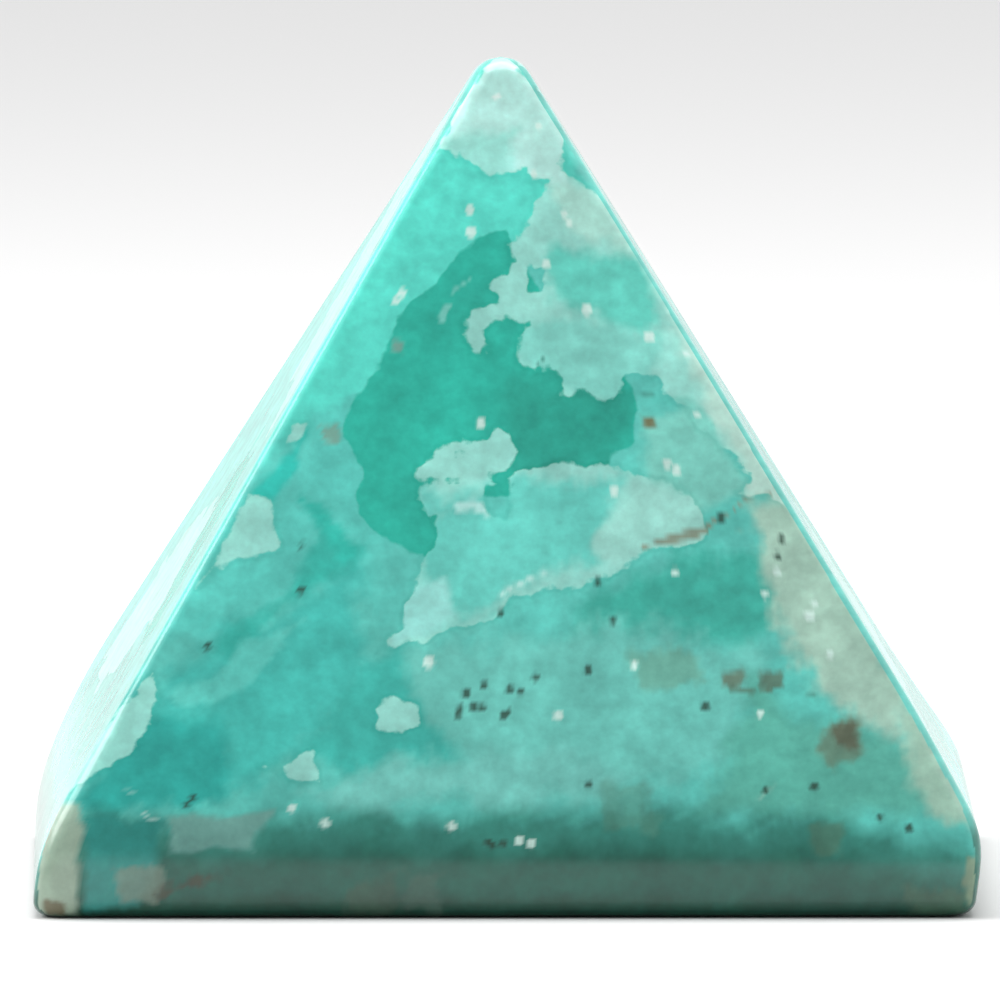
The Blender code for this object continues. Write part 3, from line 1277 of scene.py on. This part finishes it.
    def mask(
        self,
        tree: bpy.types.NodeTree,
        zone: Layer,
        ragged: bpy.types.Node,
        raggedness: float,
        width: float,
        start: float = 0.0,
    ) -> bpy.types.Node:
        """Adds a zone's mask, 1 inside it, with a ragged edge.

        Args:
            tree: The material's tree.
            zone: The zone, whose depth is stored on the stone's points.
            ragged: The noise that the edge follows.
            raggedness: How far the edge strays, in pixels.
            width: The width of the edge, in pixels.
            start: Where the edge starts, in pixels inside the outline.

        Returns:
            The node that gives the mask.
        """
        depth = add_node(tree, "ShaderNodeAttribute", attribute_name=f"{zone.value}_depth").outputs["Fac"]
        centred = add_node(tree, MATH, (ragged, 0.5), operation="SUBTRACT")
        strayed = add_node(tree, MATH, (centred, raggedness, depth), operation="MULTIPLY_ADD")
        return add_node(
            tree,
            MAP,
            {"Value": strayed, "From Min": start - width / 2, "From Max": start + width / 2},
            interpolation_type="SMOOTHSTEP",
        )


@dataclass(frozen=True)
class MattPaper:
    """Thick white studio paper, pressed smooth: it looks evenly pale and hardly shines."""

    colour: str = "#E7E7E7"
    roughness: float = 0.9
    specular: float = 0.1

    def build(self) -> bpy.types.Material:
        """Makes the material.

        Returns:
            The material.
        """
        material = bpy.data.materials.new("matt_paper")
        material.use_nodes = True
        shader = material.node_tree.nodes["Principled BSDF"]
        shader.inputs["Base Color"].default_value = linear_colour(self.colour)
        shader.inputs["Roughness"].default_value = self.roughness
        shader.inputs["Specular IOR Level"].default_value = self.specular
        return material


@dataclass(frozen=True)
class Softbox:
    """A square light that faces the middle of the stone, with its power in watts."""

    name: str
    direction: tuple[float, float, float]
    distance: float
    size: float
    power: float
    aim_height: float = 0.02

    def build(self) -> None:
        """Adds the light."""
        data = bpy.data.lights.new(self.name, "AREA")
        data.size = self.size
        data.energy = self.power
        light = bpy.data.objects.new(self.name, data)
        towards = Vector(self.direction).normalized()
        light.location = Vector((0.0, 0.0, self.aim_height)) + towards * self.distance
        light.rotation_euler = towards.to_track_quat("Z", "Y").to_euler()
        bpy.context.scene.collection.objects.link(light)


@dataclass(frozen=True)
class Studio:
    """A white tent lit from above, dim on the camera's side, and a camera far off in front."""

    azimuth: float = -0.5
    elevation: float = 4.6
    lens: float = 1500.0
    sensor: float = 36.0
    picture_width: float = 0.06349
    aim: tuple[float, float, float] = (-0.00006, 0.0, 0.0240)
    camera_sees: tuple[float, float] = (0.1, 60.0)
    floor_reach: float = 30.0
    front_light: float = 0.3
    back_light: float = 1.15
    front_ends: float = -0.5
    back_starts: float = 0.1

    SOFTBOXES: ClassVar[tuple[Softbox, ...]] = (
        Softbox("left_softbox", direction=(-0.77, 0.1, 0.6), distance=0.5, size=0.3, power=1.2),
        Softbox("top_softbox", direction=(0.0, 0.25, 0.97), distance=0.6, size=0.45, power=2.6),
    )

    def camera(self) -> None:
        """Adds the camera and makes it the scene's own."""
        azimuth, elevation = math.radians(self.azimuth), math.radians(self.elevation)
        level = math.cos(elevation)
        back = Vector((math.sin(azimuth) * level, -math.cos(azimuth) * level, math.sin(elevation)))
        data = bpy.data.cameras.new("camera")
        data.lens = self.lens
        data.sensor_width = self.sensor
        data.clip_start, data.clip_end = self.camera_sees
        camera = bpy.data.objects.new("camera", data)
        camera.location = Vector(self.aim) + back * (self.picture_width * self.lens / self.sensor)
        camera.rotation_euler = back.to_track_quat("Z", "Y").to_euler()
        bpy.context.scene.collection.objects.link(camera)
        bpy.context.scene.camera = camera

    def surroundings(self) -> None:
        """Makes the world: white behind and at the sides, dim in front."""
        world = bpy.data.worlds.new("tent")
        bpy.context.scene.world = world
        world.use_nodes = True
        tree = world.node_tree
        tree.nodes.clear()
        direction = add_node(tree, "ShaderNodeTexCoord").outputs["Generated"]
        parts = add_node(tree, "ShaderNodeSeparateXYZ", (direction,))
        light = add_node(
            tree,
            MAP,
            {
                "Value": parts.outputs["Y"],
                "From Min": self.front_ends,
                "From Max": self.back_starts,
                "To Min": self.front_light,
                "To Max": self.back_light,
            },
            interpolation_type="SMOOTHSTEP",
        )
        white = (1.0, 1.0, 1.0, 1.0)
        background = add_node(tree, "ShaderNodeBackground", {"Color": white, "Strength": light})
        add_node(tree, "ShaderNodeOutputWorld", {"Surface": background})

    def floor(self) -> None:
        """Adds the pale floor."""
        mesh = bpy.data.meshes.new("floor")
        far = self.floor_reach
        corners = [(-far, -far, 0), (far, -far, 0), (far, far, 0), (-far, far, 0)]
        mesh.from_pydata(corners, [], [range(len(corners))])
        mesh.materials.append(MattPaper().build())
        floor = bpy.data.objects.new("floor", mesh)
        bpy.context.scene.collection.objects.link(floor)

    def build(self) -> None:
        """Adds the light, the floor and the camera."""
        bpy.context.scene.view_settings.view_transform = "Standard"
        self.surroundings()
        for softbox in self.SOFTBOXES:
            softbox.build()
        self.floor()
        self.camera()


def main() -> None:
    """Builds the stone and the studio in order, and logs the stone's faces and how many markings it has."""
    logging.basicConfig(level=logging.INFO, format="%(name)s: %(message)s")
    stone = CalcitePyramid().build(PolishedCalcite().build())
    LOG.info("stone: %d faces", len(stone.data.polygons))
    LOG.info("markings: %d", CalciteMarkings().paint(stone))
    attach(stone, "root")
    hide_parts("calcite_pyramid")
    Studio().build()


if __name__ == "__main__":
    main()
